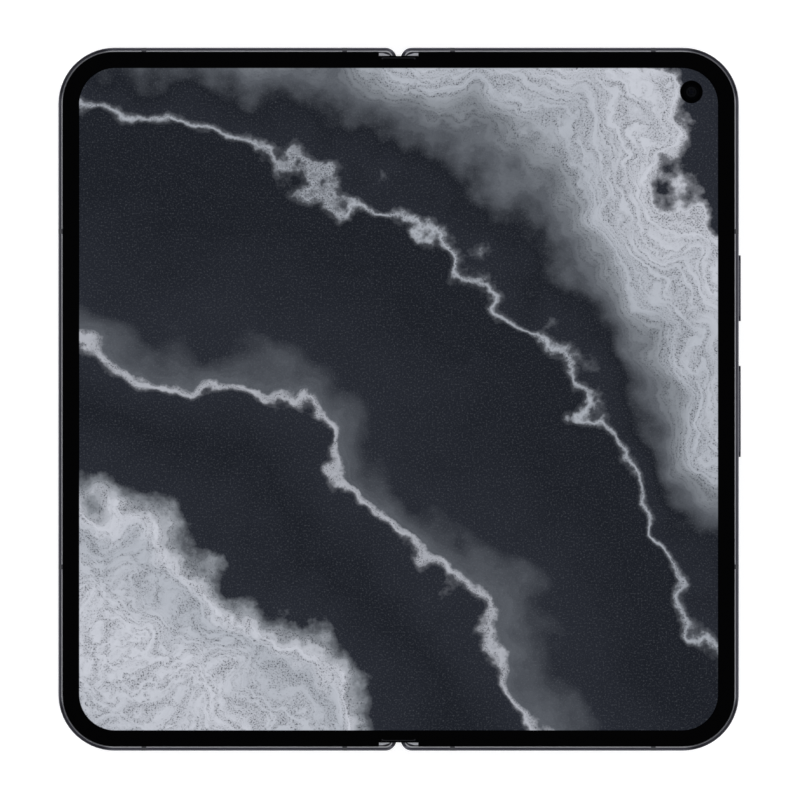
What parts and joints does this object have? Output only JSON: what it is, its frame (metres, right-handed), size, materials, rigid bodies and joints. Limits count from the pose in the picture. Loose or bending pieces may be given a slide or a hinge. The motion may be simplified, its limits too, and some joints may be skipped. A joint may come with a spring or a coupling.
{
  "type": "foldable smartphone",
  "caption": "Book-style folding phone lying open, with a geared two-axis hinge, tilting support plates, side keys, a card tray and a camera island.",
  "frame": {"origin": "middle of the fold, at the height of the surface that the open phone lies on", "axes": "+X across to the half with the keys, +Y up the screen, +Z out of the inner screen"},
  "size_m": [0.1507, 0.1552, 0.0075],
  "materials": {
    "frame_metal": "anodised graphite grey, satin side wall with a bright polished inner edge",
    "spine_metal": "anodised graphite grey, satin",
    "plate_metal": "plain machined sheet",
    "steel_bright": "bright steel",
    "screen_black": "folding screen under a clear glossy film",
    "bezel_black": "black moulded edge, low gloss",
    "line_plastic": "grey moulded insert",
    "back_matte_glass": "etched dark grey glass, silky",
    "cover_clear_glass": "polished black glass over the outer screen",
    "lens_glass": "coated lens glass",
    "lens_trim": "turned and polished ring",
    "flash_diffuser": "pale yellow diffuser",
    "module_black": "black moulded housing",
    "battery_foil": "dark grey pouch",
    "board_green": "green circuit board",
    "coil_copper": "wound copper",
    "ribbon_polyimide": "amber polyimide film",
    "key_metal": "anodised graphite grey, satin"
  },
  "bodies": {
    "right_half": {"right_frame": "frame_metal", "right_antenna_lines": "line_plastic", "right_plate": "plate_metal", "right_bezel": "bezel_black", "right_screen": "screen_black", "right_plate_screws": "steel_bright", "right_battery": "battery_foil", "main_board": "board_green", "shield_cans": "steel_bright", "charge_board": "board_green", "usb_shell": "steel_bright", "usb_tongue": "module_black", "loudspeaker": "module_black", "vibration_motor": "steel_bright", "charging_coil": "coil_copper", "back_glass": "back_matte_glass", "camera_island": "frame_metal", "lens_rings": "lens_trim", "lens_glasses": "lens_glass", "flash_window": "flash_diffuser", "rear_cameras": "module_black", "inner_camera": "lens_glass", "key_switches": "ribbon_polyimide", "right_magnets": "steel_bright", "right_hinge_arms": "steel_bright"},
    "spine": {"spine_cover": "spine_metal", "spine_end_caps": "spine_metal", "hinge_brackets": "steel_bright", "hinge_pins": "steel_bright", "friction_discs": "steel_bright", "middle_plate": "plate_metal", "fold_screen": "screen_black", "fold_strips": "bezel_black", "hinge_ribbons": "ribbon_polyimide"},
    "left_half": {"left_frame": "frame_metal", "left_antenna_lines": "line_plastic", "left_plate": "plate_metal", "left_bezel": "bezel_black", "left_screen": "screen_black", "left_plate_screws": "steel_bright", "left_battery": "battery_foil", "left_board": "board_green", "earpiece": "module_black", "cover_glass": "cover_clear_glass", "cover_screen": "screen_black", "cover_camera": "lens_glass", "card_reader": "steel_bright", "left_magnets": "steel_bright", "left_hinge_arms": "steel_bright"},
    "right_idlers": {"right_gears": "steel_bright"},
    "left_idlers": {"left_gears": "steel_bright"},
    "right_support": {"right_wing": "plate_metal"},
    "left_support": {"left_wing": "plate_metal"},
    "power_button": {"power_key": "key_metal"},
    "volume_button": {"volume_key": "key_metal"},
    "sim_drawer": {"card_tray": "frame_metal"}
  },
  "joints": [
    {"name": "right_fold", "type": "hinge", "parent": "spine", "child": "right_half", "pos_m": [0.0024, 0, 0.0053], "axis": [0, -1, 0], "range_deg": [0, 90], "deforming": ["fold_screen", "fold_strips", "hinge_ribbons"]},
    {"name": "left_fold", "type": "hinge", "parent": "spine", "child": "left_half", "pos_m": [-0.0024, 0, 0.0053], "axis": [0, 1, 0], "range_deg": [0, 90]},
    {"name": "right_gear_turn", "type": "hinge", "parent": "spine", "child": "right_idlers", "pos_m": [0.0008, 0, 0.0053], "axis": [0, 1, 0], "range_deg": [0, 90]},
    {"name": "left_gear_turn", "type": "hinge", "parent": "spine", "child": "left_idlers", "pos_m": [-0.0008, 0, 0.0053], "axis": [0, -1, 0], "range_deg": [0, 90]},
    {"name": "right_support_tilt", "type": "hinge", "parent": "right_half", "child": "right_support", "pos_m": [0.0096, 0, 0.0062], "axis": [0, -1, 0], "range_deg": [0, 12]},
    {"name": "left_support_tilt", "type": "hinge", "parent": "left_half", "child": "left_support", "pos_m": [-0.0096, 0, 0.0062], "axis": [0, 1, 0], "range_deg": [0, 12]},
    {"name": "power_press", "type": "slide", "parent": "right_half", "child": "power_button", "axis": [-1, 0, 0], "range_m": [0, 0.0003], "stiffness_N_per_m": 700, "springref_m": -0.0008},
    {"name": "volume_rock", "type": "hinge", "parent": "right_half", "child": "volume_button", "pos_m": [0.0726, -0.0027, 0.0049], "axis": [0, 0, 1], "range_deg": [-1.2, 1.2], "stiffness_Nm_per_rad": 0.6},
    {"name": "tray_slide", "type": "slide", "parent": "left_half", "child": "sim_drawer", "axis": [0, -1, 0], "range_m": [0, 0.022]}
  ],
  "couplings": [
    {"joint": "left_fold", "follows": "right_fold", "ratio": 1},
    {"joint": "right_gear_turn", "follows": "right_fold", "ratio": 1},
    {"joint": "left_gear_turn", "follows": "right_fold", "ratio": 1},
    {"joint": "right_support_tilt", "follows": "right_fold", "ratio": 0.13333},
    {"joint": "left_support_tilt", "follows": "right_fold", "ratio": 0.13333}
  ]
}
